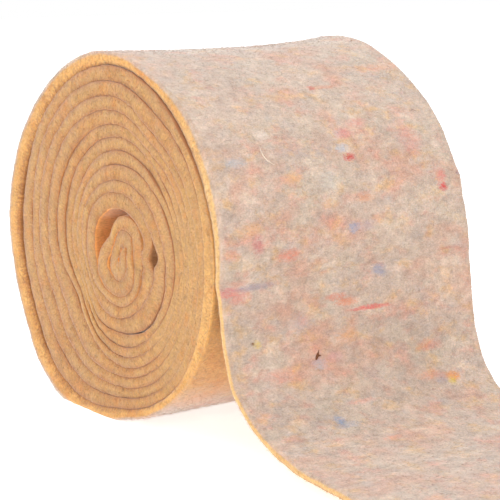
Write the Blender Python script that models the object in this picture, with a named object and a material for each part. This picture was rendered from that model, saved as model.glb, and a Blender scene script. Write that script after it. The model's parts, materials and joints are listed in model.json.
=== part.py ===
"""A roll of thick wool felt, lying on its side, with its outer end unrolled onto the surface.

One strip of felt is wound anticlockwise, seen from the near end, around a centre line along Y. The
section below gives its outer face turn by turn. The felt has its full thickness where the turns lie
loose and is squeezed where they lie tight, so the gaps and hollows between the turns follow from it.
Metres, +Z up. The surface is Z = 0, and the origin is under the middle of the whole part.
"""

import math

import bpy

MM = 0.001

FELT_WIDTH = 150 * MM
FULL_THICKNESS = 8.0 * MM  # of felt that nothing squeezes
FILLED_SHARE = 0.84  # of the room between two turns, where they lie close
LEAST_GAP = 0.5 * MM  # between two turns, also where the outermost one is pressed in
LOOSE_END_THICKNESS = 4.2 * MM
CORE_THICKNESS = 4.4 * MM  # of the innermost turn, rolled tight first
CORE_STARTS_AT_TURN = 12.0
CENTRE_HEIGHT = 83.2 * MM  # of the winding's centre above the surface

STEP = 10  # degrees between two sections of the winding
NEAR, MIDDLE, FAR = 0.0, 0.62, 1.0  # where the sections stand, as shares of the width

# Degrees from +X, turning up and over the top.
DIRECTIONS = {
    "right": 0,
    "upper_right": 45,
    "shoulder": 67,
    "top": 90,
    "upper_left": 135,
    "left": 180,
    "lower_left": 210,
    "back_of_heel": 225,
    "heel": 240,
    "bottom": 270,
    "lower_right": 315,
}

# The distance in millimetres from the winding's centre to the felt's outer face in each of those
# directions, a row for each turn from the outside in.
TURNS = (
    (83.6, 90.9, 93.4, 98.2, 103.4, 106.9, 103.9, 102.0, 95.9, 81.8, 78.2),
    (78.6, 82.3, 86.9, 91.6, 94.2, 93.3, 91.4, 92.2, 88.4, 76.1, 73.2),
    (71.0, 77.6, 78.9, 84.2, 86.8, 83.6, 80.4, 81.0, 78.6, 70.7, 68.3),
    (66.4, 69.3, 70.0, 77.0, 78.8, 75.0, 68.7, 69.6, 69.4, 65.3, 63.3),
    (62.4, 64.5, 65.0, 70.5, 71.2, 65.5, 58.8, 59.8, 61.5, 59.8, 58.6),
    (58.6, 59.6, 60.2, 64.0, 62.1, 56.7, 46.1, 47.2, 50.2, 54.4, 54.1),
    (55.0, 55.0, 56.2, 58.1, 55.3, 49.3, 42.0, 43.7, 46.6, 49.5, 49.3),
    (51.7, 51.1, 51.4, 51.7, 47.9, 42.7, 38.4, 40.5, 43.4, 44.7, 44.5),
    (48.1, 47.0, 45.9, 44.7, 42.5, 38.4, 35.3, 37.6, 40.0, 38.0, 39.1),
    (39.4, 38.7, 37.9, 37.1, 36.6, 33.4, 31.2, 31.9, 32.7, 30.9, 28.6),
    (30.7, 30.9, 31.1, 31.3, 31.2, 28.7, 27.6, 26.3, 25.2, 25.1, 22.3),
    (19.1, 21.8, 21.2, 19.4, 12.8, 17.2, 21.3, 21.4, 20.9, 20.0, 17.6),
    (11.3, 14.0, 13.8, 12.7, 7.7, 7.7, 9.8, 10.7, 11.5, 12.2, 9.4),
    (6.6, 8.0),
)

# A tight kink in the felt, which leaves a notch on its inner side.
KINK = {"turn": 9.01, "half_span": 0.035, "squeezed_by": 0.5}

# How far the outermost turn stands out at the far end, past where it lies at the near end.
SKIN_AT_FAR_END = (
    {"degrees": 0, "out": 3.2},
    {"degrees": 28, "out": -0.8},
    {"degrees": 67, "out": -1.1},
    {"degrees": 90, "out": 1.4},
    {"degrees": 108, "out": 3.6},
    {"degrees": 150, "out": 0.0},
    {"degrees": 360, "out": 0.0},
)

# The middle of the loose end's thickness, in millimetres from the winding's centre, from the cut
# end to where it joins the winding. It lands a little sooner at the far edge than at the near one.
LOOSE_END = (
    {"near": (240.7, -81.1), "far": (240.7, -81.1)},
    {"near": (219.0, -81.1), "far": (219.0, -81.1)},
    {"near": (200.7, -80.7), "far": (200.5, -81.1)},
    {"near": (184.0, -79.2), "far": (184.0, -81.0)},
    {"near": (163.0, -76.9), "far": (162.5, -80.2)},
    {"near": (142.8, -75.0), "far": (142.0, -78.4)},
    {"near": (125.2, -70.7), "far": (124.0, -74.4)},
    {"near": (110.7, -63.8), "far": (109.5, -67.2)},
    {"near": (97.6, -53.3), "far": (98.5, -55.5)},
    {"near": (90.4, -43.8), "far": (92.8, -43.5)},
    {"near": (85.2, -26.2), "far": (88.6, -24.5)},
    {"near": (82.4, -8.1), "far": (85.6, -6.5)},
)

# How far the whole strip wanders along the roll as it is wound, and how often.
EDGE_WANDER = 0.9 * MM
WANDERS_PER_TURN = 0.83

FACE_COLOUR = (0.745, 0.578, 0.450, 1.0)
BODY_COLOUR = (0.760, 0.434, 0.144, 1.0)


def clear_scene():
    for obj in list(bpy.data.objects):
        bpy.data.objects.remove(obj)


def smooth_value(knots, at):
    """The smooth curve through (place, value) knots, with the slope at each from its neighbours."""
    last = len(knots) - 2
    i = next((k for k in range(last + 1) if at <= knots[k + 1][0]), last)
    (x0, y0), (x1, y1) = knots[i], knots[i + 1]
    before = knots[max(i - 1, 0)]
    after = knots[min(i + 2, last + 1)]
    slope0 = (y1 - before[1]) / (x1 - before[0])
    slope1 = (after[1] - y0) / (after[0] - x0)
    span = x1 - x0
    t = (at - x0) / span
    return (
        (2 * t**3 - 3 * t**2 + 1) * y0
        + (t**3 - 2 * t**2 + t) * span * slope0
        + (3 * t**2 - 2 * t**3) * y1
        + (t**3 - t**2) * span * slope1
    )


WINDING = [
    (360 * turn + degrees, reach * MM)
    for turn, row in enumerate(TURNS)
    for degrees, reach in zip(DIRECTIONS.values(), row)
]
WINDING_ENDS = WINDING[-1][0]
SKIN = [(row["degrees"], row["out"] * MM) for row in SKIN_AT_FAR_END]


def outer_face(degrees, share):
    """Distance of the felt's outer face from the centre, after so many degrees of winding."""
    reach = smooth_value(WINDING, degrees)
    if degrees < SKIN[-1][0]:
        reach += share**3 * smooth_value(SKIN, degrees)
    return reach


def room_inside(degrees, share):
    """Room for the felt between its outer face and the outer face of the next turn in."""
    return outer_face(degrees, share) - outer_face(degrees + 360, share)


def thickness(degrees, share):
    """Thickness of the felt: full where it is free, squeezed where the next turn lies close."""
    full = CORE_THICKNESS if degrees / 360 >= CORE_STARTS_AT_TURN else FULL_THICKNESS
    if degrees + 360 <= WINDING_ENDS:
        as_wound = FILLED_SHARE * room_inside(degrees, NEAR)
        pressed_in = room_inside(degrees, share) - LEAST_GAP
        full = min(full, as_wound, pressed_in)
    from_kink = (degrees / 360 - KINK["turn"]) / KINK["half_span"]
    return full * (1 - KINK["squeezed_by"] * math.exp(-(from_kink**2)))


def winding_section(degrees, share):
    """The outer and inner face, as (x, z) from the winding's centre, at one place in the winding."""
    outer = outer_face(degrees, share)
    inner = outer - thickness(degrees, share)
    cos, sin = math.cos(math.radians(degrees)), math.sin(math.radians(degrees))
    return (outer * cos, outer * sin), (inner * cos, inner * sin)


def loose_end_sections(share):
    """The outer and inner faces along the loose end, at right angles to the way that it runs."""
    middle = []
    for row in LOOSE_END:
        (near_x, near_z), (far_x, far_z) = row["near"], row["far"]
        middle.append(
            ((near_x + (far_x - near_x) * share) * MM, (near_z + (far_z - near_z) * share) * MM)
        )
    (outer_x, outer_z), (inner_x, inner_z) = winding_section(0, share)
    onwards = ((outer_x + inner_x) / 2, (outer_z + inner_z) / 2)
    sections = []
    for i, (x, z) in enumerate(middle):
        before = middle[max(i - 1, 0)]
        after = (middle + [onwards])[i + 1]
        run_x, run_z = after[0] - before[0], after[1] - before[1]
        half = LOOSE_END_THICKNESS / 2 / math.hypot(run_x, run_z)
        sections.append(((x + run_z * half, z - run_x * half), (x - run_z * half, z + run_x * half)))
    return sections


def strip_sections(share):
    """Every section of the strip, from the cut end on the surface to the end in the core."""
    sections = loose_end_sections(share)
    count = round(WINDING_ENDS / STEP)
    sections += [winding_section(WINDING_ENDS * i / count, share) for i in range(count + 1)]
    lowest = -CENTRE_HEIGHT
    return [[(x, max(z, lowest)) for x, z in section] for section in sections]


def edge_shift(index):
    """How far the strip has wandered along the roll at one of its sections."""
    turns = index * STEP / 360
    return EDGE_WANDER * math.sin(2 * math.pi * WANDERS_PER_TURN * turns)


def felt_material(name, colour):
    material = bpy.data.materials.new(name)
    material.use_nodes = True
    shader = material.node_tree.nodes["Principled BSDF"]
    shader.inputs["Base Color"].default_value = colour
    shader.inputs["Roughness"].default_value = 0.95
    shader.inputs["Metallic"].default_value = 0.0
    return material


def build_felt():
    shares = (NEAR, MIDDLE, FAR)
    lines = [strip_sections(share) for share in shares]
    all_x = [x for line in lines for section in line for x, z in section]
    middle_x = (min(all_x) + max(all_x)) / 2

    rings = []
    points = []
    for i in range(len(lines[0])):
        places = [(line[i][0], share) for line, share in zip(lines, shares)]
        places += [(line[i][1], share) for line, share in zip(reversed(lines), reversed(shares))]
        ring = []
        for (x, z), share in places:
            y = FELT_WIDTH * (share - 0.5) + edge_shift(i)
            ring.append(len(points))
            points.append((x - middle_x, y, z + CENTRE_HEIGHT))
        rings.append(ring)

    around = len(rings[0])
    faces = [tuple(reversed(rings[0])), tuple(rings[-1])]
    for here, there in zip(rings, rings[1:]):
        for k in range(around):
            following = (k + 1) % around
            faces.append((here[k], here[following], there[following], there[k]))

    mesh = bpy.data.meshes.new("felt")
    mesh.from_pydata(points, [], faces)
    mesh.materials.append(felt_material("felt_face", FACE_COLOUR))
    mesh.materials.append(felt_material("felt_body", BODY_COLOUR))
    on_outer_face = len(shares) - 1
    for number, polygon in enumerate(mesh.polygons):
        side = (number - 2) % around
        polygon.material_index = 0 if number >= 2 and side < on_outer_face else 1
    mesh.shade_smooth()
    mesh.set_sharp_from_angle(angle=math.radians(40))
    felt = bpy.data.objects.new("felt", mesh)
    bpy.context.scene.collection.objects.link(felt)
    return felt


clear_scene()
build_felt()
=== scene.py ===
# A roll of thick wool felt, cream outside and yellow-orange within, its outer end unrolled.
import json
import math

import bpy
import numpy as np
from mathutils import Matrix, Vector, noise

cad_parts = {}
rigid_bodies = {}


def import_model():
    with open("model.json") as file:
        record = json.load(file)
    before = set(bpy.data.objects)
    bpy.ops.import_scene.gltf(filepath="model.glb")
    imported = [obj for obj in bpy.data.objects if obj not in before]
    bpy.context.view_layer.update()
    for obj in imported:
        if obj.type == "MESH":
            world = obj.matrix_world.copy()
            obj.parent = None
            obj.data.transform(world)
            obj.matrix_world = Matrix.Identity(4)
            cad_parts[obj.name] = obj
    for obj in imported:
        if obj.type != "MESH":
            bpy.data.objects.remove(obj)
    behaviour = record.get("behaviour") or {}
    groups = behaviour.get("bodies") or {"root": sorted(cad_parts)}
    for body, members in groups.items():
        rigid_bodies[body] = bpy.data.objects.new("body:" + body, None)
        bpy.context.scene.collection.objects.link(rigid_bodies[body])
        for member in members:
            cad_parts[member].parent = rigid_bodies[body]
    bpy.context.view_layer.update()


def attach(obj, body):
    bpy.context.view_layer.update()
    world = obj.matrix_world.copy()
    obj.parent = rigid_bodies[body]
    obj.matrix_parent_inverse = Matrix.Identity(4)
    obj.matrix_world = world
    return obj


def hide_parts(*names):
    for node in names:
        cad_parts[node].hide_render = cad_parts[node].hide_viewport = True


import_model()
mm = 0.001


def deselectAll():
    if bpy.context.mode != "OBJECT":
        bpy.ops.object.mode_set(mode="OBJECT")
    bpy.ops.object.select_all(action="DESELECT")


def selectOnly(obj):
    deselectAll()
    obj.select_set(True)
    bpy.context.view_layer.objects.active = obj


def linear(red, green, blue):  # a shade as a paint chart gives it, 0 to 255
    return tuple((c / 255) ** 2.2 for c in (red, green, blue)) + (1.0,)


# The camera stands at the roll's near end, a little above it, and looks along the felt.
cameraSettings = {
    "place": (0.6437, -0.5298, 0.2344),
    "azimuth": 53.0,
    "elevation": 10.0,
    "lens": 126.7,
}


def addCamera(settings):
    deselectAll()
    tilt = math.radians(90 - settings["elevation"])
    bpy.ops.object.camera_add(
        location=settings["place"], rotation=(tilt, 0, math.radians(settings["azimuth"]))
    )
    camera = bpy.context.object
    camera.data.lens = settings["lens"]
    camera.data.sensor_width = 36.0
    bpy.context.scene.camera = camera


addCamera(cameraSettings)
print("camera placed")


# The wound strip. Lengths in millimetres, as on the cutting table.
strip = {
    "width": 150.0,
    "filledShare": 0.995,  # of the room between two turns, where the cut edges meet
    "fillVaries": {"by": 0.01, "over": 34.0, "seed": 3.0},
    "pressedShare": 0.99,  # and where the turns are pressed together
    "pressedGap": 0.03,
    "looserGap": 0.02,  # more than that between turns that aren't pressed
    "centreHole": 0.6,
    "looseEndThickness": 4.2,
    "looseSpread": 0.8,  # the loose end's far edge
    "spreadEndsAtTurn": 0.09,
    "centreHeight": 83.2,
    "spacing": 2.6,  # between two sections
    "looseSections": 90,
    "widestStep": 5.0,  # degrees
    "seamWobble": {"high": 0.34, "over": 3.6, "seed": 17.0, "fromDegrees": (355.0, 375.0)},
    "wander": 0.6,  # of the whole strip, along the roll
    "wandersPerTurn": 0.83,
    "pressedStill": 0.9,  # how much of that is gone where the turns are pressed together
}
cutEdge = {
    "bulge": 1.2,  # how far it is rounded
    "squareness": 1.35,  # of that rounding: 1 is a half circle, less is squarer
    "endRounding": 0.97,  # of the strip's two ends
    "woundFlush": 0.76,  # how much of the bulge is gone within the roll
    "woundFromTurn": (0.85, 1.1),
    "pressedFlush": 0.92,  # and where its turns are pressed together
    "ripples": (  # the seeds are for the near and the far edge
        {"high": 0.35, "over": 5.0, "seeds": (11.0, 29.0)},
        {"high": 0.45, "over": 23.0, "seeds": (17.0, 35.0)},
    ),
    "ripplePower": 8,  # the higher, the closer the ripples keep to the edge
}
lumps = {  # on the outer face
    "high": 0.5,
    "sizes": (
        {"along": 17.0, "across": 24.0, "seed": 1.7, "share": 1.0},
        {"along": 6.0, "across": 9.0, "seed": 4.1, "share": 0.4},
    ),
    "endAtTurn": (0.9, 1.0),
}
ringSteps = {"halfFace": 9, "cutEdge": 9}  # points around one section
# The thickness of the felt where nothing squeezes it, by turn.
fullThickness = (
    (9.9, 12.0), (10.0, 8.0), (10.95, 8.0), (11.0, 9.6), (11.95, 9.6), (12.0, 7.4), (12.15, 9.5),
    (12.75, 9.5), (13.0, 5.4),
)
# Degrees from the right and over the top.
directions = (0, 45, 67, 90, 135, 180, 210, 225, 240, 270, 315)
turns = (  # reach of the outer face from the centre, a row for each turn, outside in
    (83.6, 90.9, 93.4, 98.2, 103.4, 106.9, 103.9, 102.0, 95.9, 81.8, 78.2),
    (78.6, 82.3, 86.9, 91.6, 94.2, 93.3, 91.4, 92.2, 88.4, 76.1, 73.2),
    (71.0, 77.6, 78.9, 84.2, 86.8, 83.6, 80.4, 81.0, 78.6, 70.7, 68.3),
    (66.4, 69.3, 70.0, 77.0, 78.8, 75.0, 68.7, 69.6, 69.4, 65.3, 63.3),
    (62.4, 64.5, 65.0, 70.5, 71.2, 65.5, 58.8, 59.8, 61.5, 59.8, 58.6),
    (58.6, 59.6, 60.2, 64.0, 62.1, 56.7, 46.1, 47.2, 50.2, 54.4, 54.1),
    (55.0, 55.0, 56.2, 58.1, 55.3, 49.3, 42.0, 43.7, 46.6, 49.5, 49.3),
    (51.7, 51.1, 51.4, 51.7, 47.9, 42.7, 38.4, 40.5, 43.4, 44.7, 44.5),
    (48.1, 47.0, 45.9, 44.7, 42.5, 38.4, 35.3, 37.6, 40.0, 38.0, 39.1),
    (39.4, 38.7, 37.9, 37.1, 36.6, 33.4, 31.2, 31.9, 32.7, 30.9, 28.6),
    (30.7, 30.9, 31.1, 31.3, 31.2, 28.7, 27.6, 26.3, 25.2, 25.1, 22.3),
    (19.1, 21.8, 21.2, 19.4, 12.8, 17.2, 21.3, 21.4, 20.9, 20.0, 17.6),
    (11.3, 14.0, 13.8, 12.7, 7.7, 7.7, 9.8, 10.7, 11.5, 12.2, 9.4),
    (6.6, 8.0),
)
kink = {"turn": 9.02, "halfSpan": 0.03, "squeezedBy": 0.55}
dent = {"turn": 10.015, "halfSpan": 0.03, "deep": 5.4}  # on the turn inside that kink
# How far the outermost turn stands out past those reaches, by degrees.
skin = {
    "farEdge": ((0, 3.2), (28, -0.8), (67, -1.1), (90, 1.4), (108, 3.6), (150, 0.0), (360, 0.0)),
    "farEdgePower": 5,  # the higher, the closer this keeps to its edge
    "nearEdge": (
        (0, 0.0), (55, 0.0), (75, -1.3), (95, 0.0), (110, 0.8), (130, 0.9), (155, 2.9), (180, 2.6),
        (200, 0.4), (212, 2.1), (230, 3.0), (248, 3.1), (262, 1.5), (275, 0.0), (360, 0.0),
    ),
    "nearEdgePower": 6,
    "middle": ((0, 0.0), (40, 0.0), (90, -1.5), (130, 0.0), (360, 0.0)),
}
# Halfway through the roll the core turns fill the hollow: by turn, how far out they lie there.
coreInMiddle = (
    (10.88, 0.0), (11.0, 3.3), (11.125, 1.0), (11.186, 1.8), (11.25, 3.8), (11.375, 10.2),
    (11.5, 3.3), (11.6, 0.0),
)
looseEnd = (  # the middle of the felt at the near and the far edge, from the cut end to the roll
    ((240.7, -81.1), (240.7, -81.1)),
    ((219.0, -81.1), (219.0, -81.1)),
    ((200.7, -80.7), (200.5, -81.1)),
    ((184.0, -79.2), (184.0, -81.0)),
    ((163.0, -76.9), (162.5, -80.2)),
    ((142.8, -75.0), (142.0, -78.4)),
    ((125.2, -70.7), (124.0, -74.4)),
    ((110.7, -63.8), (109.5, -67.2)),
    ((97.6, -53.3), (98.5, -55.5)),
    ((90.4, -43.8), (92.8, -43.5)),
    ((85.2, -26.2), (88.6, -24.5)),
    ((82.4, -8.1), (85.6, -6.5)),
)
# Where the turns are pressed together so hard that their cut edges close up, and where they part.
pressed = (
    {"direction": -8.0, "halfSpan": 62.0, "fromTurn": 1.0, "toTurn": 7.3, "fadesOver": 0.4},
    {"direction": 193.0, "halfSpan": 52.0, "fromTurn": 6.57, "toTurn": 8.7, "fadesOver": 0.1},
)
fullyPressedWithin = 0.45  # of that half span
parted = {"turn": 7.93, "halfSpan": 0.11, "gap": 1.8}
slubs = (  # thick spots in the wool: how far along and across the strip, how high and how wide
    {"along": 242.9, "across": 74.4, "height": 1.3, "half": (5.0, 5.0)},
    {"along": 264.0, "across": 55.6, "height": 0.5, "half": (9.0, 9.0)},
)


def smoothCurve(at, places, values):  # through all the values, with each slope from its neighbours
    at, places, values = (np.asarray(a, float) for a in (at, places, values))
    last = len(places) - 1
    i = np.clip(np.searchsorted(places, at) - 1, 0, last - 1)
    before, after = np.maximum(i - 1, 0), np.minimum(i + 2, last)
    slope0 = (values[i + 1] - values[before]) / (places[i + 1] - places[before])
    slope1 = (values[after] - values[i]) / (places[after] - places[i])
    span = places[i + 1] - places[i]
    t = (at - places[i]) / span
    return (
        (2 * t**3 - 3 * t**2 + 1) * values[i]
        + (t**3 - 2 * t**2 + t) * span * slope0
        + (3 * t**2 - 2 * t**3) * values[i + 1]
        + (t**3 - t**2) * span * slope1
    )


reachPlaces = [360 * turn + d for turn, row in enumerate(turns) for d, _ in zip(directions, row)]
reachValues = [reach for row in turns for reach in row]
windingEnds = reachPlaces[-1]


def smoothStep(low, high, value):
    t = np.clip((value - low) / (high - low), 0.0, 1.0)
    return t * t * (3 - 2 * t)


def pressedShare(degrees):
    turn = degrees / 360
    share = np.zeros(np.shape(degrees))
    for spot in pressed:
        away = np.abs((degrees - spot["direction"] + 180) % 360 - 180)
        inDirection = 1 - smoothStep(spot["halfSpan"] * fullyPressedWithin, spot["halfSpan"], away)
        fade = spot["fadesOver"]
        inTurns = smoothStep(spot["fromTurn"] - fade, spot["fromTurn"], turn)
        inTurns = inTurns * (1 - smoothStep(spot["toTurn"], spot["toTurn"] + fade, turn))
        share = np.maximum(share, inDirection * inTurns)
    return share


def wave(values, scale, seed):  # smooth noise along the strip, about -1 to 1
    found = [noise.noise(Vector((v / scale, seed, 0.5))) for v in np.ravel(values)]
    return np.array(found).reshape(np.shape(values))


def nearAnEnd(share):  # 1 at both ends of the roll, 0 halfway
    return (2 * share - 1) ** 2


def hump(turn, spot):  # 1 at the spot, and falling off to both sides
    return np.exp(-(((turn - spot["turn"]) / spot["halfSpan"]) ** 2))


def outerReach(degrees, share):
    reach = smoothCurve(degrees, reachPlaces, reachValues)
    turn = degrees / 360
    core = np.interp(turn, *zip(*coreInMiddle)) * (1 - nearAnEnd(share))
    around = np.clip(degrees, 0, 360)
    farSkin = smoothCurve(around, *zip(*skin["farEdge"]))
    nearSkin = smoothCurve(around, *zip(*skin["nearEdge"]))
    middleSkin = smoothCurve(around, *zip(*skin["middle"]))
    out = share ** skin["farEdgePower"] * farSkin
    out = out + (1 - share) ** skin["nearEdgePower"] * nearSkin
    out = out + 4 * share * (1 - share) * middleSkin
    dented = dent["deep"] * hump(turn, dent) * nearAnEnd(share)
    wobble = strip["seamWobble"]
    seam = wave(np.radians(degrees) * reach, wobble["over"], wobble["seed"]) * wobble["high"]
    seam = seam * smoothStep(*wobble["fromDegrees"], degrees)
    return reach + np.where(degrees < 360, out, 0.0) + seam + core - dented


def feltThickness(degrees, share, along):
    turn = degrees / 360
    full = np.interp(turn, *zip(*fullThickness))
    full = np.minimum(full, outerReach(degrees, share) - strip["centreHole"])
    inward = np.minimum(degrees + 360, windingEnds)
    hasNext = degrees + 360 <= windingEnds
    asWound = outerReach(degrees, 0 * share) - outerReach(inward, 0 * share)
    pressedIn = outerReach(degrees, share) - outerReach(inward, share)
    close = pressedShare(degrees)
    varies = strip["fillVaries"]
    fill = strip["filledShare"] + varies["by"] * wave(along, varies["over"], varies["seed"])
    fill = fill + (strip["pressedShare"] - fill) * close
    pressedIn = pressedIn - strip["looserGap"] * (1 - close) - strip["pressedGap"]
    full = np.where(hasNext, np.minimum(full, np.minimum(fill * asWound, pressedIn)), full)
    gap = parted["gap"] * hump(turn, parted)
    kinked = kink["squeezedBy"] * hump(turn, kink)
    return (full - gap * nearAnEnd(share)) * (1 - kinked * nearAnEnd(share))


def lengthsAlong(points):
    return np.concatenate([[0], np.cumsum(np.linalg.norm(np.diff(points, axis=0), axis=1))])


def windingPlaces():  # degrees of each section, about evenly spaced along the felt
    degrees = [0.0]
    while degrees[-1] < windingEnds - strip["widestStep"]:
        reach = float(smoothCurve(degrees[-1], reachPlaces, reachValues))
        degrees.append(degrees[-1] + min(strip["widestStep"], math.degrees(strip["spacing"] / reach)))
    return np.array(degrees + [windingEnds])


def windingSections(degrees, share, along):
    outer = outerReach(degrees, share)
    inner = outer - feltThickness(degrees, share, along)
    cos, sin = np.cos(np.radians(degrees)), np.sin(np.radians(degrees))
    return np.stack([outer * cos, outer * sin], -1), np.stack([inner * cos, inner * sin], -1)


def looseEndSections(share):  # share is one number here: 0 at the near edge, 1 at the far one
    ahead = 0.02  # of the way between two rows
    rows = [np.array(near) * (1 - share) + np.array(far) * share for near, far in looseEnd]
    firstDegrees = np.array([0.0, 10.0])
    outer, inner = windingSections(firstDegrees, np.full(2, share), np.zeros(2))
    rows = np.array(rows + list((outer + inner) / 2))
    numbers = np.arange(len(rows))
    lengthAt = lengthsAlong(rows[:-1])
    count = strip["looseSections"]
    at = np.interp(np.linspace(0, lengthAt[-1], count + 1)[:-1], lengthAt, numbers[:-1])
    middle = np.stack([smoothCurve(at, numbers, rows[:, k]) for k in (0, 1)], -1)
    onwards = np.stack([smoothCurve(at + ahead, numbers, rows[:, k]) for k in (0, 1)], -1)
    run = onwards - middle
    run = run / np.linalg.norm(run, axis=1, keepdims=True)
    side = np.stack([run[:, 1], -run[:, 0]], -1) * strip["looseEndThickness"] / 2
    return middle + side, middle - side


def ringLayout():
    # Around one section, from the middle of the back: how far across, how deep, how far into an edge.
    stations = np.sin(np.linspace(0, 1, ringSteps["halfFace"]) * math.pi / 2)
    arc = np.radians(np.linspace(0, 180, ringSteps["cutEdge"])[1:-1])
    ring = [(-s, 1.0, 0.0) for s in stations]
    square = cutEdge["squareness"]
    ring += [(-1.0, (1 + math.cos(a)) / 2, math.sin(a) ** square) for a in arc]
    ring += [(s, 0.0, 0.0) for s in list(-stations[::-1]) + list(stations[1:])]
    ring += [(1.0, (1 - math.cos(a)) / 2, math.sin(a) ** square) for a in arc]
    ring += [(s, 1.0, 0.0) for s in stations[::-1]]
    return np.array(ring)


def raisedBy(along, across, outside, isOuter):  # the outer face is a little uneven
    half = strip["width"] / 2
    raised = np.zeros((len(along), len(across)))
    for i in np.nonzero(outside > 0)[0]:
        for k in np.nonzero(isOuter)[0]:
            lump = 0.0
            for size in lumps["sizes"]:
                place = (along[i] / size["along"], across[k] * half / size["across"], size["seed"])
                lump += size["share"] * noise.noise(Vector(place))
            raised[i, k] = outside[i] * lump * lumps["high"]
    for slub in slubs:
        fromAlong = (along[:, None] - slub["along"]) / slub["half"][0]
        fromAcross = (across[None, :] * half - slub["across"]) / slub["half"][1]
        raised += slub["height"] * np.exp(-(fromAlong**2) - fromAcross**2) * isOuter
    return raised


def acrossPlaces(across, swell, along, close, turn):  # with cut edges that ripple and wander
    def rippled(side):
        ripples = cutEdge["ripples"]
        found = [row["high"] * wave(along, row["over"], row["seeds"][side]) for row in ripples]
        return sum(found)[:, None]

    half, bulge = strip["width"] / 2, cutEdge["bulge"]
    atEdge = np.abs(across) ** cutEdge["ripplePower"]
    wound = cutEdge["woundFlush"] * smoothStep(*cutEdge["woundFromTurn"], turn)
    flush = bulge * np.maximum(cutEdge["pressedFlush"] * close, wound)[:, None]
    ripple = np.where(across < 0, rippled(0), rippled(1))
    reach = np.abs(across) * (half - bulge) + swell * (bulge - flush) + atEdge * flush
    reach = reach + ripple * (1 - close)[:, None] * atEdge
    spread = strip["looseSpread"] * np.maximum(across, 0.0) ** 2
    reach = reach + spread * (1 - smoothStep(0.0, strip["spreadEndsAtTurn"], turn))[:, None]
    wander = strip["wander"] * np.sin(2 * math.pi * strip["wandersPerTurn"] * turn)
    wander = wander * (1 - strip["pressedStill"] * close)
    return np.sign(across) * reach + wander[:, None]


def stripPoints():
    ring = ringLayout()
    across, depth, swell = ring[:, 0], ring[:, 1], ring[:, 2]
    share = (across + 1) / 2
    degrees = windingPlaces()
    loose = {s: looseEndSections(s) for s in sorted(set(share))}
    looseCount = len(loose[0.0][0])
    looseOuter = np.stack([loose[s][0] for s in share], 1)
    looseInner = np.stack([loose[s][1] for s in share], 1)
    nearMiddle = (looseOuter[:, len(ring) // 2] + looseInner[:, len(ring) // 2]) / 2
    looseAlong = lengthsAlong(nearMiddle)
    reach = smoothCurve(degrees, reachPlaces, reachValues)
    steps = np.radians(np.diff(degrees)) * (reach[1:] + reach[:-1]) / 2
    along = looseAlong[-1] + strip["spacing"] + np.concatenate([[0], np.cumsum(steps)])
    grid = np.broadcast_to(degrees[:, None], (len(degrees), len(ring)))
    gridShare = np.broadcast_to(share, grid.shape)
    gridAlong = np.broadcast_to(along[:, None], grid.shape)
    woundOuter, woundInner = windingSections(grid, gridShare, gridAlong)
    outer = np.concatenate([looseOuter, woundOuter])
    inner = np.concatenate([looseInner, woundInner])
    along = np.concatenate([looseAlong, along])
    turn = np.concatenate([np.zeros(looseCount), degrees / 360])
    close = np.concatenate([np.zeros(looseCount), pressedShare(degrees)])
    thick = np.linalg.norm(outer - inner, axis=2)

    # Both ends of the strip are rounded off like its long edges.
    fromEnd = np.minimum(along, along[-1] - along)[:, None]
    rounded = np.clip(1 - fromEnd / cutEdge["bulge"], 0.0, cutEdge["endRounding"])
    depthHere = 0.5 + (depth - 0.5) * np.sqrt(1 - rounded**2)
    flat = outer + (inner - outer) * depthHere[..., None]

    outside = 1 - smoothStep(*lumps["endAtTurn"], turn)
    outward = (outer - inner) / thick[..., None]
    flat = flat + outward * raisedBy(along, across, outside, depth < 0.5)[..., None]
    y = acrossPlaces(across, swell, along, close, turn)
    z = np.maximum(flat[..., 1] + strip["centreHeight"], 0.0)
    points = np.stack([flat[..., 0], y, z], -1) * mm

    # How far across the felt each point lies, measured on over its cut edges to the back.
    half = strip["width"] / 2
    over = np.where(swell > 0, 1.0, np.abs(across))[None, :] * half + depth * thick
    overBack = np.abs(across)[None, :] * (half + thick)
    over = np.where((depth == 1.0)[None, :], overBack, over) * np.sign(across)
    values = {
        "along": np.broadcast_to(along[:, None], z.shape) * mm,
        "across": over * mm,
        "depth": np.broadcast_to(depth, z.shape),
        "turn": np.broadcast_to(turn[:, None], z.shape),
        "pressed": np.broadcast_to(close[:, None], z.shape),
    }
    return points, values, along[-1] * mm


def gridMesh(name, points, values):  # a sheet of points, rolled into a tube that is closed at its ends
    rows, around = points.shape[:2]
    deselectAll()
    bpy.ops.mesh.primitive_grid_add(x_subdivisions=around - 1, y_subdivisions=rows - 1)
    piece = bpy.context.object
    piece.name = name
    mesh = piece.data
    weld = 0.01 * mm
    if len(mesh.vertices) != rows * around:
        raise ValueError(f"the grid has {len(mesh.vertices)} points, not {rows * around}")
    mesh.vertices.foreach_set("co", points.astype(np.float32).ravel())
    for label, value in values.items():
        attribute = mesh.attributes.new(label, "FLOAT", "POINT")
        attribute.data.foreach_set("value", np.ascontiguousarray(value, np.float32).ravel())
    mesh.update()
    bpy.ops.object.mode_set(mode="EDIT")
    bpy.ops.mesh.select_all(action="DESELECT")
    bpy.ops.mesh.select_non_manifold()
    bpy.ops.mesh.remove_doubles(threshold=weld)
    bpy.ops.mesh.select_all(action="DESELECT")
    bpy.ops.mesh.select_non_manifold()
    bpy.ops.mesh.fill_holes(sides=0)
    bpy.ops.mesh.select_all(action="SELECT")
    bpy.ops.mesh.normals_make_consistent(inside=False)
    bpy.ops.object.mode_set(mode="OBJECT")
    bpy.ops.object.shade_smooth()
    return piece


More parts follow.
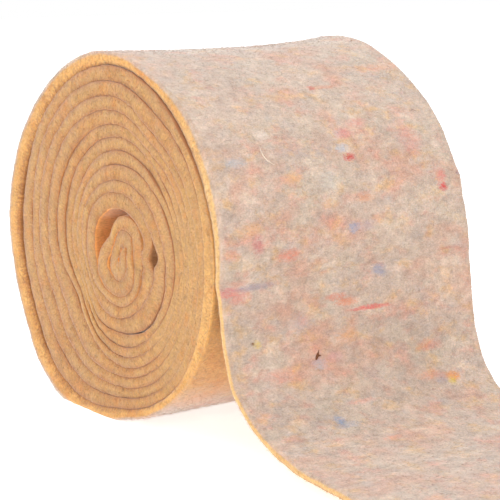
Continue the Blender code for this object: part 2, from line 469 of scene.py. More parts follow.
def buildStrip():
    points, values, length = stripPoints()
    middleX = (points[..., 0].min() + points[..., 0].max()) / 2
    points = points - np.array([middleX, 0, 0])
    ring = ringLayout()
    onFace = np.nonzero((ring[:, 1] == 0.0) & (ring[:, 2] == 0.0))[0]
    outerFace = {
        "points": points[:, onFace],
        "along": values["along"][:, 0],
        "across": values["across"][0, onFace],
    }
    return gridMesh("feltStrip", points, values), length, outerFace


feltStrip, stripLength, outerFace = buildStrip()
print("strip wound:", len(feltStrip.data.polygons), "faces,", round(stripLength, 3), "m long")


# Node helpers, for shaders and for the nap.
def addNode(tree, kind, **settings):
    node = tree.nodes.new(kind)
    for name, value in settings.items():
        setattr(node, name, value)
    return node


def feed(tree, node, sockets):
    for name, value in sockets.items():
        socket = node.inputs[name]
        if isinstance(value, bpy.types.NodeSocket):
            tree.links.new(value, socket)
        else:
            socket.default_value = value
    return node


def maths(tree, operation, first, second=0.5):
    node = addNode(tree, "ShaderNodeMath", operation=operation)
    feed(tree, node, {0: first, 1: second})
    return node.outputs[0]


def vectorMaths(tree, operation, *values, scale=None):
    node = addNode(tree, "ShaderNodeVectorMath", operation=operation)
    feed(tree, node, dict(enumerate(values)))
    if scale is not None:
        feed(tree, node, {"Scale": scale})
    return node.outputs["Value" if operation == "DOT_PRODUCT" else "Vector"]


def mixColours(tree, share, first, second):
    node = addNode(tree, "ShaderNodeMix", data_type="RGBA")
    feed(tree, node, {0: share, 6: first, 7: second})
    return node.outputs[2]


def mapRange(tree, value, low, high, toLow=0.0, toHigh=1.0):
    node = addNode(tree, "ShaderNodeMapRange", interpolation_type="SMOOTHSTEP")
    feed(tree, node, {0: value, 1: low, 2: high, 3: toLow, 4: toHigh})
    return node.outputs[0]


def newGroup(name, inputs, outputs):
    group = bpy.data.node_groups.new(name, "ShaderNodeTree")
    for label, kind in inputs.items():
        group.interface.new_socket(label, in_out="INPUT", socket_type=kind)
    for label, kind in outputs.items():
        group.interface.new_socket(label, in_out="OUTPUT", socket_type=kind)
    start = addNode(group, "NodeGroupInput")
    end = addNode(group, "NodeGroupOutput")
    return group, start.outputs, end.inputs


def useGroup(tree, group, sockets):
    node = addNode(tree, "ShaderNodeGroup", node_tree=group)
    return feed(tree, node, sockets).outputs


number, colour = "NodeSocketFloat", "NodeSocketColor"
placeLabels = ("Along", "Across", "Depth", "Turn", "Pressed")  # each is an attribute of the strip


# Wool lies mostly across the strip, so every pattern is drawn out that way.
def makeWoolNoise():
    inputs = ("Along", "Across", "Patch", "Stretch", "Detail", "Roughness", "Layer")
    group, given, result = newGroup(
        "woolNoise", dict.fromkeys(inputs, number), {"Value": number}
    )
    long = maths(group, "DIVIDE", given["Along"], given["Patch"])
    patchAcross = maths(group, "MULTIPLY", given["Patch"], given["Stretch"])
    wide = maths(group, "DIVIDE", given["Across"], patchAcross)
    place = feed(group, addNode(group, "ShaderNodeCombineXYZ"), {0: long, 1: wide, 2: given["Layer"]})
    cloud = addNode(group, "ShaderNodeTexNoise", noise_dimensions="3D")
    settings = {"Vector": place.outputs[0], "Scale": 1.0}
    feed(group, cloud, settings | {"Detail": given["Detail"], "Roughness": given["Roughness"]})
    group.links.new(cloud.outputs["Fac"], result["Value"])
    return group


woolNoise = makeWoolNoise()


def woolPattern(tree, along, across, patch, stretch, detail, roughness, layer):
    sockets = {"Along": along, "Across": across, "Patch": patch * mm, "Stretch": stretch}
    sockets |= {"Detail": detail, "Roughness": roughness, "Layer": layer}
    return useGroup(tree, woolNoise, sockets)["Value"]


# One dyed lock caught in the felt, or a patch of painted light: an uneven soft spot with its own shade.
lockOrLightEdge = {"uneven": 5.0, "fade": (1.9, -0.5)}


def makeLockOrBounceLight():
    inputs = dict.fromkeys(("Along", "Across", "Ragged", "Speckle", "At Along", "At Across"), number)
    inputs |= dict.fromkeys(("Half Along", "Half Across", "Strength"), number)
    group, given, result = newGroup(
        "lockOrBounceLight", inputs | {"Base": colour, "Dye Or Light": colour}, {"Colour": colour}
    )
    squares = []
    for way in ("Along", "Across"):
        away = maths(group, "SUBTRACT", given[way], given["At " + way])
        away = maths(group, "DIVIDE", away, given["Half " + way])
        squares.append(maths(group, "MULTIPLY", away, away))
    square = maths(group, "ADD", *squares)
    uneven = maths(group, "MULTIPLY", maths(group, "SUBTRACT", given["Ragged"]), lockOrLightEdge["uneven"])
    mask = mapRange(group, maths(group, "ADD", square, uneven), *lockOrLightEdge["fade"])
    strength = maths(group, "MULTIPLY", given["Strength"], given["Speckle"])
    mask = maths(group, "MULTIPLY", mask, strength)
    group.links.new(mixColours(group, mask, given["Base"], given["Dye Or Light"]), result["Colour"])
    return group


lockOrBounceLight = makeLockOrBounceLight()

# Each dyed lock, or patch of painted light: how far it lies along and across the strip and its half
# size, all in mm, then its strength and its dye, or the colour of the light.
locksAndBounceLight = (
    (258, 7.5, 2.1, 3.4, 0.95, (180, 36, 42)),
    (239, 63, 2.2, 3, 0.9, (190, 48, 54)),
    (244.5, 63.5, 3.4, 3.2, 0.6, (204, 104, 98)),
    (301.5, 8, 1.9, 2.1, 0.9, (184, 60, 52)),
    (301.5, 15.5, 1.3, 9, 0.5, (200, 122, 88)),
    (185, 10, 1.2, 11.5, 0.8, (206, 78, 76)),
    (189.5, -4.5, 2.1, 7, 0.65, (214, 116, 74)),
    (192.5, -10.5, 1.7, 6.5, 0.6, (208, 112, 88)),
    (201.5, -72, 2.2, 4.6, 0.7, (190, 84, 86)),
    (199, -66.5, 3.2, 7.5, 0.55, (208, 124, 112)),
    (215.5, -37, 3, 6.8, 0.65, (208, 108, 82)),
    (222, -55, 5.4, 3.2, 0.6, (186, 96, 102)),
    (229, -59, 2.8, 7.5, 0.45, (218, 160, 98)),
    (270.5, 9.5, 3, 5.4, 0.55, (196, 108, 112)),
    (276, 21, 2.7, 5.4, 0.5, (204, 118, 112)),
    (264.5, 50, 6.4, 7, 0.45, (202, 128, 116)),
    (258, 49.5, 3.2, 5, 0.4, (206, 132, 118)),
    (224.5, 3, 2.7, 3.8, 0.75, (112, 138, 168)),
    (224.5, 10, 2.4, 6.6, 0.5, (164, 142, 152)),
    (201.5, 18, 3, 4.4, 0.6, (116, 132, 162)),
    (130, -30.5, 2.7, 2.9, 0.75, (104, 132, 164)),
    (126.5, -28, 1.9, 7.5, 0.55, (146, 152, 172)),
    (263, 5, 2.2, 3.8, 0.6, (160, 176, 196)),
    (260.5, -61, 2.4, 6.5, 0.5, (148, 164, 176)),
    (144, 50.5, 2.6, 4.6, 0.85, (214, 132, 34)),
    (141.5, 49, 2.3, 2.6, 0.75, (200, 176, 44)),
    (143.5, 43.5, 3.4, 4, 0.6, (142, 138, 148)),
    (176, -59, 1.9, 2.4, 0.75, (214, 184, 92)),
    (176.5, -61.5, 0.8, 1, 1, (112, 76, 50)),
    (202, -57.5, 1.6, 11, 0.6, (134, 128, 146)),
    (210.5, -18.5, 1.9, 4.8, 0.3, (208, 136, 98)),
    (238, 11.5, 2.3, 5.2, 0.5, (208, 128, 78)),
    (237, -9.5, 3, 4.5, 0.45, (210, 164, 108)),
    (316, 66.5, 3.4, 15, 0.5, (216, 148, 110)),
    (245, 74, 1.5, 1.4, 0.75, (120, 96, 108)),
    (209, 61.5, 0.8, 5.5, 0.5, (166, 98, 92)),
    (162, 42.5, 2.8, 7.5, 0.5, (206, 122, 104)),
    (146.5, 38, 2.6, 7.5, 0.5, (208, 126, 92)),
    (153, 2, 3.6, 5, 0.5, (164, 136, 132)),
    (111.5, -12.5, 2, 5.4, 0.6, (224, 142, 112)),
    (139, -11, 1.3, 9, 0.5, (218, 140, 124)),
    (173.5, -6, 4.4, 8, 0.45, (216, 150, 108)),
    (183, -32, 5, 7, 0.4, (168, 168, 172)),
    (162, -25.5, 3.2, 4, 0.5, (176, 184, 196)),
    (164, -16, 2.6, 5, 0.45, (204, 144, 150)),
    (159.5, -48.5, 3.6, 11, 0.4, (220, 146, 128)),
    (218.5, -70, 2.6, 5, 0.45, (206, 132, 118)),
    (263.5, -19.5, 3.4, 16, 0.35, (166, 158, 162)),
    (250.5, -30.5, 3.4, 5, 0.45, (214, 168, 112)),
    (247.5, -7, 4.6, 7, 0.4, (182, 182, 176)),
    (273.5, -39.5, 2.6, 3.4, 0.5, (222, 208, 196)),
    # Not dyed locks: painted orange bounce light from the loose end's back, on the roll's face below it.
    (743, -59.5, 15, 19, 0.75, (198, 118, 70)),
    (726, -49.5, 9, 15, 0.6, (202, 126, 80)),
    (714, -62.5, 8, 14, 0.5, (206, 138, 106)),
)

shades = {
    "face": linear(180, 159, 144),
    "rim": linear(180, 157, 139),
    # painted shade, for the grooves between turns
    "seam": linear(150, 100, 64),
    # painted orange bounce light, inside the core's hollow
    "hollowBounceLight": linear(214, 146, 84),
    "body": linear(172, 130, 79),
    "bodyGrey": linear(164, 129, 98),
    "outerBody": linear(209, 157, 90),
    "looseBody": linear(204, 166, 112),
    # paler shades for loose fibres: partly their own colour, partly painted light shining through them
    "faceFibre": linear(206, 186, 172),
    "bodyFibre": linear(190, 145, 90),
}
# Patterns in the wool say their patch in mm, stretch across the strip, detail and roughness.
# Ragged patches of differently dyed wool are mixed into the face and the body one after the other.
faceTints = (
    {"wool": (30, 1.5, 3, 0.7), "dye": (190, 140, 118), "over": (0.46, 0.66), "most": 0.6},
    {"wool": (24, 1.6, 3, 0.7), "dye": (184, 168, 150), "over": (0.46, 0.66), "most": 0.55},
    {"wool": (11, 1.7, 3, 0.7), "dye": (196, 134, 116), "over": (0.5, 0.72), "most": 0.5},
    {"wool": (10, 1.6, 3, 0.7), "dye": (200, 158, 108), "over": (0.5, 0.72), "most": 0.6},
    {"wool": (9, 1.8, 3, 0.7), "dye": (164, 158, 156), "over": (0.52, 0.76), "most": 0.38},
    {"wool": (12, 1.9, 4, 0.7), "dye": (208, 188, 168), "over": (0.52, 0.74), "most": 0.6},
)
bodyTints = (
    {"wool": (24, 1.0, 3, 0.7), "dye": (176, 114, 56), "over": (0.48, 0.7), "most": 0.5},
    {"wool": (9, 1.0, 3, 0.7), "dye": (180, 112, 56), "over": (0.5, 0.72), "most": 0.5},
    {"wool": (7, 1.0, 3, 0.7), "dye": (160, 124, 96), "over": (0.52, 0.76), "most": 0.45},
    {"wool": (8, 1.1, 3, 0.7), "dye": (190, 148, 82), "over": (0.5, 0.74), "most": 0.5},
)
# Each cloud then lightens or darkens the shade, and long streaks do so on the loose end.
faceClouds = (
    {"wool": (30, 1.6, 2, 0.6), "light": 0.34},
    {"wool": (5, 1.6, 3, 0.9), "light": 1.1},
    {"wool": (0.7, 1.5, 1, 0.6), "light": 0.5},
)
streaks = {"wool": (5, 5.0, 3, 0.7), "light": 0.5}
bodyClouds = (
    {"wool": (24, 1.0, 2, 0.6), "light": 0.3},
    {"wool": (5, 1.3, 3, 0.8), "light": 0.6},
    {"wool": (0.9, 2.4, 3, 0.8), "light": 1.3},
)


layers = {"faceClouds": 10.0, "streaks": 15.0, "bodyClouds": 20.0, "faceTints": 60.0, "bodyTints": 80.0}
patterns = {  # the same four values, and then the layer
    "ragged": (1.2, 2.2, 4.0, 0.8, 2.6),
    "speckle": (0.5, 2.6, 2.0, 0.6, 5.2),
    "rimWander": (22.0, 1.0, 2.0, 0.6, 71.0),
    "fibres": (0.8, 1.7, 2.0, 0.7, 41.0),
    "clumps": (2.6, 1.6, 2.0, 0.6, 43.0),
    "napShades": (0.35, 1.0, 0.0, 0.5, 51.0),
}
paleRim = {"starts": 71.2, "wanders": 3.6, "ragged": 3.0, "width": 1.8, "strength": 0.45}
creamLayer = {"uneven": 0.15, "ends": 0.1, "full": 0.02, "fullShare": 0.3, "goneWherePressed": 0.95}
raggedDepth = 1.5
fades = {  # from where to where each change runs, and how strong it is at both ends
    "speckle": (0.36, 0.6, 0.55, 1.0),
    "outside": (1.0, 0.92),  # by turn
    "looseEnd": (0.165, 0.115),  # by metres along
    "greyWool": (0.6, 0.15, 0.0, 0.4),  # by depth
    "outerBody": (1.15, 0.9, 0.0, 0.8),  # by turn
    "looseBody": (0.2, 0.06, 0.0, 0.85),
    "wound": (0.85, 1.05),
    # the next two are painted shade at the sides of each turn's cut edge
    "innerSideShade": (0.36, -0.12, 0.0, 0.85),  # by depth
    "outerSideShade": (0.54, 1.12, 0.0, 0.95),
    "onCutEdge": (74.0 * mm, 76.0 * mm),  # by distance from the middle line
    "seamShadeOnFace": (69.0 * mm, 73.5 * mm, 0.0, 0.95),
    # the next three place the painted bounce light in the core's hollow
    "deepIn": (75.5 * mm, 73.0 * mm, 0.0, 0.9),
    "onBack": (0.975, 1.0, 0.0, 0.85),  # by depth
    "inCore": (10.06, 10.14),  # by turn
    "aroundEdge": (1.0, 0.9, 0.0, 0.3),
    "outOfCore": (10.0, 9.93),
}


def makeFeltColours():
    group, given, result = newGroup(
        "feltColours", dict.fromkeys(placeLabels, number), {"Colour": colour, "Face": number}
    )
    along, across, depth, turn, squeezed = (given[label] for label in placeLabels)

    def plus(first, second):
        return maths(group, "ADD", first, second)

    def times(first, second):
        return maths(group, "MULTIPLY", first, second)

    def lessHalf(value):
        return maths(group, "SUBTRACT", value, 0.5)

    def fade(value, name):
        return mapRange(group, value, *fades[name])

    def tinted(base, tints, layer):
        for k, tint in enumerate(tints):
            found = woolPattern(group, along, across, *tint["wool"], layer + k)
            share = mapRange(group, found, *tint["over"], 0.0, tint["most"])
            base = mixColours(group, share, base, linear(*tint["dye"]))
        return base

    def clouded(base, clouds, layer, share=None):
        for k, cloud in enumerate(clouds):
            found = woolPattern(group, along, across, *cloud["wool"], layer + k)
            light = times(lessHalf(found), cloud["light"])
            if share is not None:
                light = times(light, share)
            shift = vectorMaths(group, "SCALE", (1.0, 1.0, 1.0), scale=light)
            base = vectorMaths(group, "MULTIPLY_ADD", base, shift, base)
        return base

    # The outer face, with a pale fuzzy rim along both cut edges, dyed locks and painted bounce light.
    ragged = woolPattern(group, along, across, *patterns["ragged"])
    speckle = woolPattern(group, along, across, *patterns["speckle"])
    speckle = fade(speckle, "speckle")
    face = tinted(shades["face"], faceTints, layers["faceTints"])
    wander = woolPattern(group, along, 0.0, *patterns["rimWander"])
    rimStarts = plus(paleRim["starts"] * mm, times(wander, paleRim["wanders"] * mm))
    nearEdge = maths(group, "ABSOLUTE", across)
    nearEdge = plus(nearEdge, times(lessHalf(ragged), paleRim["ragged"] * mm))
    rimFull = plus(rimStarts, paleRim["width"] * mm)
    rim = mapRange(group, nearEdge, rimStarts, rimFull, 0.0, paleRim["strength"])
    face = mixColours(group, times(rim, fade(turn, "outside")), face, shades["rim"])
    face = clouded(face, faceClouds, layers["faceClouds"])
    face = clouded(face, [streaks], layers["streaks"], fade(along, "looseEnd"))
    shared = {"Along": along, "Across": across, "Ragged": ragged, "Speckle": speckle}
    for atAlong, atAcross, halfAlong, halfAcross, strength, dye in locksAndBounceLight:
        own = {"At Along": atAlong * mm, "At Across": atAcross * mm, "Half Along": halfAlong * mm}
        own |= {"Half Across": halfAcross * mm, "Strength": strength, "Dye Or Light": linear(*dye)}
        face = useGroup(group, lockOrBounceLight, {"Base": face} | shared | own)["Colour"]

    # The body and the back: yellow-orange, with greyer wool near the face and deeper blotches.
    unevenDepth = plus(depth, times(lessHalf(ragged), raggedDepth))
    body = mixColours(group, fade(unevenDepth, "greyWool"), shades["body"], shades["bodyGrey"])
    body = mixColours(group, fade(turn, "outerBody"), body, shades["outerBody"])
    body = tinted(body, bodyTints, layers["bodyTints"])
    body = mixColours(group, fade(turn, "looseBody"), body, shades["looseBody"])

    # Where two turns meet, painted shade darkens the sides of their cut edges, except where the turns are
    # pressed together, and the face beside them, for the groove between the turns.
    wound = fade(turn, "wound")
    apart = maths(group, "SUBTRACT", 1.0, squeezed)
    innerSideShade = times(fade(unevenDepth, "innerSideShade"), wound)
    outerSideShade = fade(unevenDepth, "outerSideShade")
    seam = plus(innerSideShade, times(outerSideShade, fade(nearEdge, "onCutEdge")))
    body = mixColours(group, times(seam, apart), body, shades["seam"])
    face = mixColours(group, times(fade(nearEdge, "seamShadeOnFace"), wound), face, shades["seam"])
    # In the core's hollow the body gets painted orange bounce light, as its orange walls light each other.
    deepIn = maths(group, "MAXIMUM", fade(nearEdge, "deepIn"), fade(depth, "onBack"))
    body = mixColours(group, times(deepIn, fade(turn, "inCore")), body, shades["hollowBounceLight"])
    body = clouded(body, bodyClouds, layers["bodyClouds"])

    # On the outermost turn the cream layer comes a little way round the cut edge.
    aroundEdge = fade(turn, "aroundEdge")
    faceDepth = plus(depth, times(unevenDepth, creamLayer["uneven"]))
    faceEnds = plus(aroundEdge, creamLayer["ends"])
    faceFull = plus(times(aroundEdge, creamLayer["fullShare"]), creamLayer["full"])
    isFace = mapRange(group, faceDepth, faceEnds, faceFull)
    isFace = times(isFace, fade(turn, "outOfCore"))
    lost = times(squeezed, creamLayer["goneWherePressed"])
    shows = times(isFace, maths(group, "SUBTRACT", 1.0, lost))
    group.links.new(mixColours(group, shows, body, face), result["Colour"])
    group.links.new(isFace, result["Face"])
    return group


feltColours = makeFeltColours()


def readAttribute(tree, name):
    return addNode(tree, "ShaderNodeAttribute", attribute_name=name).outputs["Fac"]


def coloursOf(tree):
    sockets = {label: readAttribute(tree, label.lower()) for label in placeLabels}
    return useGroup(tree, feltColours, sockets)


def newMaterial(name):
    material = bpy.data.materials.new(name)
    material.use_nodes = True
    tree = material.node_tree
    return material, tree, tree.nodes["Principled BSDF"]


woolSurface = {
    "Roughness": 0.95,
    "Specular IOR Level": 0.12,
    "Sheen Weight": 0.45,
    "Sheen Roughness": 0.45,
}
feltNap = {"high": 0.22, "strength": 0.8, "fibreShare": 0.7}
feltGlow = {"share": 0.4, "reach": 1.6, "colours": (1.0, 0.6, 0.35)}  # light that goes on in the wool


def makeFelt():
    material, tree, shader = newMaterial("woolFelt")
    along, across = readAttribute(tree, "along"), readAttribute(tree, "across")
    fibres = woolPattern(tree, along, across, *patterns["fibres"])
    clumps = woolPattern(tree, along, across, *patterns["clumps"])
    height = maths(tree, "ADD", maths(tree, "MULTIPLY", fibres, feltNap["fibreShare"]), clumps)
    bump = addNode(tree, "ShaderNodeBump")
    bumpSockets = {"Height": height, "Strength": feltNap["strength"], "Distance": feltNap["high"] * mm}
    feed(tree, bump, bumpSockets)
    feed(tree, shader, {"Base Color": coloursOf(tree)["Colour"], "Normal": bump.outputs[0]})
    feed(tree, shader, woolSurface)
    glow = {"Weight": feltGlow["share"], "Scale": feltGlow["reach"] * mm, "Radius": feltGlow["colours"]}
    feed(tree, shader, {"Subsurface " + label: value for label, value in glow.items()})
    return material


feltStrip.data.materials.append(makeFelt())
print("felt dyed")


# A short fibre that stands loose: thin, bent and pointed at both ends. One unit is a millimetre.
needles = (
    {"bend": 0.05, "thick": 0.06},
    {"bend": 0.12, "thick": 0.045},
    {"bend": 0.2, "thick": 0.05},
)
needleHalf = {"long": 0.5, "middle": 0.67}


def makeNeedle(k, settings):  # two long three-sided points, base to base
    deselectAll()
    bpy.ops.mesh.primitive_cone_add(
        vertices=3,
        radius1=settings["thick"],
        depth=needleHalf["long"],
        end_fill_type="TRIFAN",
        location=(0, 0, needleHalf["middle"]),
    )
    needle = bpy.context.object
    needle.name = f"needle{k}"
    bpy.ops.object.transform_apply(location=True, rotation=True, scale=True)
    for vertex in needle.data.vertices:
        fromAxis = math.hypot(vertex.co.x, vertex.co.y)
        if fromAxis > settings["thick"] / 2:
            vertex.co.x += settings["bend"]
        elif vertex.co.z < needleHalf["middle"]:
            vertex.co.z -= needleHalf["long"]
    bpy.ops.object.shade_smooth()
    return needle


def needleCollection():
    collection = bpy.data.collections.new("needles")
    bpy.context.scene.collection.children.link(collection)
    for k, settings in enumerate(needles):
        needle = makeNeedle(k, settings)
        for owner in list(needle.users_collection):
            owner.objects.unlink(needle)
        collection.objects.link(needle)
    return collection


# Where fibres stand: how deep in the felt and how far along it, how many on a square millimetre,
# how long they are in mm, and how steeply they stand.
onFace = {"depth": (-0.1, 0.02), "side": 0, "perSquareMm": 0.5, "length": (0.8, 2.6), "stands": (0.05, 0.6)}
onEdge = {"depth": (0.02, 0.98), "along": (0.0, 9.0)}
onRim = {"depth": (0.02, 0.45), "along": (0.0, 0.86), "perSquareMm": 1.2}
onRim |= {"length": (0.8, 2.2), "stands": (0.3, 1.4)}
denseEdge = {"perSquareMm": 1.05, "length": (1.0, 2.8), "stands": (0.04, 0.4)}
sparseEdge = {"perSquareMm": 0.6, "length": (1.0, 2.6), "stands": (0.0, 0.25)}
onBack = {"perSquareMm": 0.15, "length": (1.0, 3.0), "stands": (0.02, 0.4)}
naps = {
    "rollNap": onFace | {"along": (0.225, 0.53), "seed": 3},
    "heelNap": onFace | {"along": (0.53, 0.85), "seed": 17},
    "looseEndNap": onFace | {"along": (0.0, 0.225), "length": (0.9, 2.8), "stands": (0.0, 0.12), "seed": 5},
    "nearEdgeNap": onEdge | denseEdge | {"side": -1, "seed": 7},
    "farEdgeNap": onEdge | sparseEdge | {"side": 1, "seed": 11},
    "rimNap": onRim | {"side": -1, "seed": 19},
    "farRimNap": onRim | {"side": 1, "seed": 23},
    "backNap": onBack | {"depth": (0.98, 1.1), "along": (0.0, 0.245), "side": 0, "seed": 13},
}
growing = {"clearOfTable": 1.5, "lies": (1.0, 1.5, 1.0), "spins": 6.283}  # mm, directions, radians


def napNodes(name, settings, collection):
    group = bpy.data.node_groups.new(name, "GeometryNodeTree")
    group.is_modifier = True
    group.interface.new_socket("Geometry", in_out="INPUT", socket_type="NodeSocketGeometry")
    group.interface.new_socket("Geometry", in_out="OUTPUT", socket_type="NodeSocketGeometry")
    start = addNode(group, "NodeGroupInput")
    end = addNode(group, "NodeGroupOutput")

    def named(label):
        node = addNode(group, "GeometryNodeInputNamedAttribute", data_type="FLOAT")
        node.inputs["Name"].default_value = label
        return node.outputs["Attribute"]

    def within(value, low, high):
        above = maths(group, "GREATER_THAN", value, low)
        return maths(group, "MULTIPLY", above, maths(group, "LESS_THAN", value, high))

    def randomly(kind, low, high, seed):
        node = addNode(group, "FunctionNodeRandomValue", data_type=kind)
        ends = [s for s in node.inputs if s.name in ("Min", "Max") and s.enabled]
        ends[0].default_value, ends[1].default_value = low, high
        feed(group, node, {"Seed": settings["seed"] + seed})
        return next(s for s in node.outputs if s.enabled)

    place = addNode(group, "GeometryNodeInputPosition").outputs[0]
    height = feed(group, addNode(group, "ShaderNodeSeparateXYZ"), {0: place}).outputs[2]
    inDepth = within(named("depth"), *settings["depth"])
    grows = maths(group, "MULTIPLY", inDepth, within(named("along"), *settings["along"]))
    clear = maths(group, "GREATER_THAN", height, growing["clearOfTable"] * mm)
    grows = maths(group, "MULTIPLY", grows, clear)
    if settings["side"]:
        onSide = maths(group, "MULTIPLY", named("across"), settings["side"])
        grows = maths(group, "MULTIPLY", grows, maths(group, "GREATER_THAN", onSide, 0.0))
    scatter = addNode(group, "GeometryNodeDistributePointsOnFaces", distribute_method="RANDOM")
    density = maths(group, "MULTIPLY", grows, settings["perSquareMm"] * 1e6)
    feed(group, scatter, {"Mesh": start.outputs[0], "Density": density, "Seed": settings["seed"]})
    normal = scatter.outputs["Normal"]

    # Each fibre lies along the felt's face, mostly across the strip, and stands up a little.
    lies = growing["lies"]
    lie = randomly("FLOAT_VECTOR", tuple(-v for v in lies), lies, 101)
    into = vectorMaths(group, "SCALE", normal, scale=vectorMaths(group, "DOT_PRODUCT", lie, normal))
    lie = vectorMaths(group, "NORMALIZE", vectorMaths(group, "SUBTRACT", lie, into))
    lift = vectorMaths(group, "SCALE", normal, scale=randomly("FLOAT", *settings["stands"], 102))
    heading = vectorMaths(group, "ADD", lie, lift)
    turned = addNode(group, "FunctionNodeAlignRotationToVector", axis="Z")
    feed(group, turned, {"Vector": heading})
    spin = addNode(group, "FunctionNodeAxisAngleToRotation")
    feed(group, spin, {"Axis": (0.0, 0.0, 1.0), "Angle": randomly("FLOAT", 0.0, growing["spins"], 103)})
    rotation = addNode(group, "FunctionNodeRotateRotation", rotation_space="LOCAL")
    feed(group, rotation, {"Rotation": turned.outputs[0], "Rotate By": spin.outputs[0]})
    length = maths(group, "MULTIPLY", randomly("FLOAT", *settings["length"], 104), mm)
    size = feed(group, addNode(group, "ShaderNodeCombineXYZ"), {0: mm, 1: mm, 2: length})

    info = addNode(group, "GeometryNodeCollectionInfo", transform_space="ORIGINAL")
    feed(group, info, {"Collection": collection, "Separate Children": True, "Reset Children": True})
    grow = addNode(group, "GeometryNodeInstanceOnPoints")
    feed(group, grow, {"Points": scatter.outputs["Points"], "Instance": info.outputs[0]})
    feed(group, grow, {"Pick Instance": True, "Rotation": rotation.outputs[0], "Scale": size.outputs[0]})
    real = feed(group, addNode(group, "GeometryNodeRealizeInstances"), {0: grow.outputs[0]})
    group.links.new(real.outputs[0], end.inputs[0])
    return group


def growNap(name, settings, collection):
    selectOnly(feltStrip)
    bpy.ops.object.duplicate()
    nap = bpy.context.object
    nap.name = name
    nap.data.name = name
    modifier = nap.modifiers.new("grow", "NODES")
    modifier.node_group = napNodes(name, settings, collection)
    bpy.ops.object.modifier_apply(modifier="grow")
    bpy.ops.object.shade_smooth()
    layFibres(nap.data)
    return nap


# No fibre reaches under the surface, and each has one place on the map of the strip laid flat.
def layFibres(mesh):
    points = np.zeros(len(mesh.vertices) * 3, np.float32)
    mesh.vertices.foreach_get("co", points)
    points[2::3] = np.maximum(points[2::3], 0.0)
    mesh.vertices.foreach_set("co", points)
    places = []
    for label, size, start in (("along", stripLength, 0.0), ("across", strip["width"] * mm, 0.5)):
        values = np.zeros(len(mesh.vertices), np.float32)
        mesh.attributes[label].data.foreach_get("value", values)
        places.append(np.clip(values / size + start, 0.0, 1.0))
    corners = np.zeros(len(mesh.loops), np.int32)
    mesh.loops.foreach_get("vertex_index", corners)
    flatMap = mesh.uv_layers.new(name="OFBake")
    flatMap.data.foreach_set("uv", np.stack(places, -1)[corners].ravel())
    mesh.update()


# How far fibres go toward those paler shades, which are partly painted light.
paleAndLitFibres = (0.3, 0.75, 0.0, 0.55)


def makeNapFinish():
    material, tree, shader = newMaterial("looseFibre")
    found = coloursOf(tree)
    along, across = readAttribute(tree, "along"), readAttribute(tree, "across")
    pick = woolPattern(tree, along, across, *patterns["napShades"])
    # Some fibres are paler than the felt: partly pale wool, partly painted light shining through thin
    # fibres.
    paleAndLit = mixColours(tree, found["Face"], shades["bodyFibre"], shades["faceFibre"])
    shade = mixColours(tree, mapRange(tree, pick, *paleAndLitFibres), found["Colour"], paleAndLit)
    feed(tree, shader, {"Base Color": shade} | woolSurface)
    return material


def growAllNaps():
    collection = needleCollection()
    finish = makeNapFinish()
    grown = []
    for name, settings in naps.items():
        nap = growNap(name, settings, collection)
        nap.data.materials.clear()
        nap.data.materials.append(finish)
        grown.append(nap)
        print("grown:", name, len(nap.data.polygons), "faces")
    for needle in list(collection.objects):
        bpy.data.objects.remove(needle)
    bpy.data.collections.remove(collection)
    return grown


napPieces = growAllNaps()


# Stray bits caught in the wool: how far each bend is along and across the strip, and its radius.
strays = {
    "paleCurl": {
        "shade": (212, 196, 176),
        "bends": (
            (267.5, -43.2, 0.08), (264.5, -43.6, 0.3), (261.3, -42.6, 0.36), (259.2, -40.8, 0.28),
            (257.4, -38.0, 0.08),
        ),
    },
    "darkHair": {
        "shade": (104, 88, 70),
        "bends": (
            (281.2, 59.0, 0.04), (280.6, 60.4, 0.12), (282.2, 61.6, 0.06), (280.8, 62.8, 0.12),
            (280.6, 65.3, 0.04),
        ),
    },
    "plantSpeck": {
        "shade": (108, 70, 50),
        "bends": (
            (164.3, -27.1, 0.3), (165.3, -26.4, 0.75), (166.4, -25.6, 0.8), (167.4, -25.0, 0.4),
            (168.8, -24.4, 0.08),
        ),
    },
    "plantTwig": {
        "shade": (108, 70, 50),
        "bends": (
            (165.8, -26.2, 0.3), (166.0, -25.5, 0.4), (166.1, -24.9, 0.45), (166.1, -24.3, 0.35),
            (165.9, -23.5, 0.08),
        ),
    },
}


strayFinish = {"Roughness": 0.8, "Specular IOR Level": 0.2}


def facePlace(along, across):  # in mm, on the outer face
    rowAt = np.interp(along * mm, outerFace["along"], np.arange(len(outerFace["along"])))
    columnAt = np.interp(across * mm, outerFace["across"], np.arange(len(outerFace["across"])))
    row, column = int(rowAt), int(columnAt)
    corners = outerFace["points"][row : row + 2, column : column + 2]
    lower = corners[:, 0] + (corners[:, 1] - corners[:, 0]) * (columnAt - column)
    return lower[0] + (lower[1] - lower[0]) * (rowAt - row)


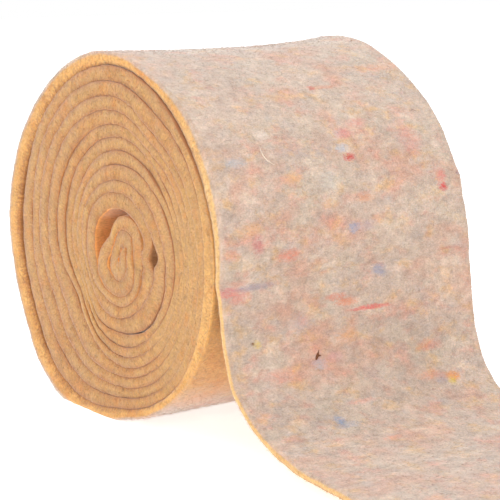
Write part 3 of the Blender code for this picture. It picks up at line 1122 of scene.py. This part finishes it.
def layStray(name, settings):
    deselectAll()
    bpy.ops.curve.primitive_nurbs_path_add()
    stray = bpy.context.object
    stray.name = name
    path = stray.data
    for point, (along, across, radius) in zip(path.splines[0].points, settings["bends"]):
        point.co = (*facePlace(along, across), 1.0)
        point.radius = radius
    path.splines[0].order_u = 3
    path.resolution_u = 6
    path.bevel_depth = mm
    path.bevel_resolution = 1
    bpy.ops.object.convert(target="MESH")
    bpy.ops.object.shade_smooth()
    material, tree, shader = newMaterial(name)
    feed(tree, shader, {"Base Color": linear(*settings["shade"])} | strayFinish)
    stray.data.materials.append(material)
    return stray


strayPieces = [layStray(name, settings) for name, settings in strays.items()]
print("strays laid:", len(strayPieces))


# White all round, with soft light from the front and from above.
lights = {
    "skyStrength": 1.0,
    "front": {"place": (0.6, -1.3, 0.25), "size": 0.9, "power": 10.5},
    "top": {"place": (0.1, 0.0, 1.4), "size": 1.4, "power": 7.0},
    "aim": (-0.02, -0.02, 0.08),
}
white = (1.0, 1.0, 1.0, 1.0)
floorFinish = {
    "Base Color": (0.97, 0.97, 0.97, 1.0),
    "Roughness": 0.9,
    "Specular IOR Level": 0.0,
    "Emission Color": white,
    "Emission Strength": 0.58,  # as on a light table
}
floorPlace = {"size": 8.0, "under": 0.0002}


def addLamp(settings):
    deselectAll()
    bpy.ops.object.light_add(type="AREA", location=settings["place"])
    lamp = bpy.context.object
    lamp.data.size = settings["size"]
    lamp.data.energy = settings["power"]
    lookAt = Vector(lights["aim"]) - Vector(settings["place"])
    lamp.rotation_euler = lookAt.to_track_quat("-Z", "Y").to_euler()


def addStage():
    world = bpy.data.worlds.new("studio")
    bpy.context.scene.world = world
    world.use_nodes = True
    sky = world.node_tree.nodes["Background"]
    feed(world.node_tree, sky, {"Color": white, "Strength": lights["skyStrength"]})
    deselectAll()
    bpy.ops.mesh.primitive_plane_add(size=floorPlace["size"], location=(0, 0, -floorPlace["under"]))
    floor = bpy.context.object
    floor.name = "studioFloor"
    material, tree, shader = newMaterial("paleFloor")
    feed(tree, shader, floorFinish)
    floor.data.materials.append(material)
    addLamp(lights["front"])
    addLamp(lights["top"])
    bpy.context.scene.view_settings.view_transform = "Standard"


addStage()
print("stage lit")

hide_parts("felt")
for piece in [feltStrip] + napPieces + strayPieces:
    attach(piece, "root")
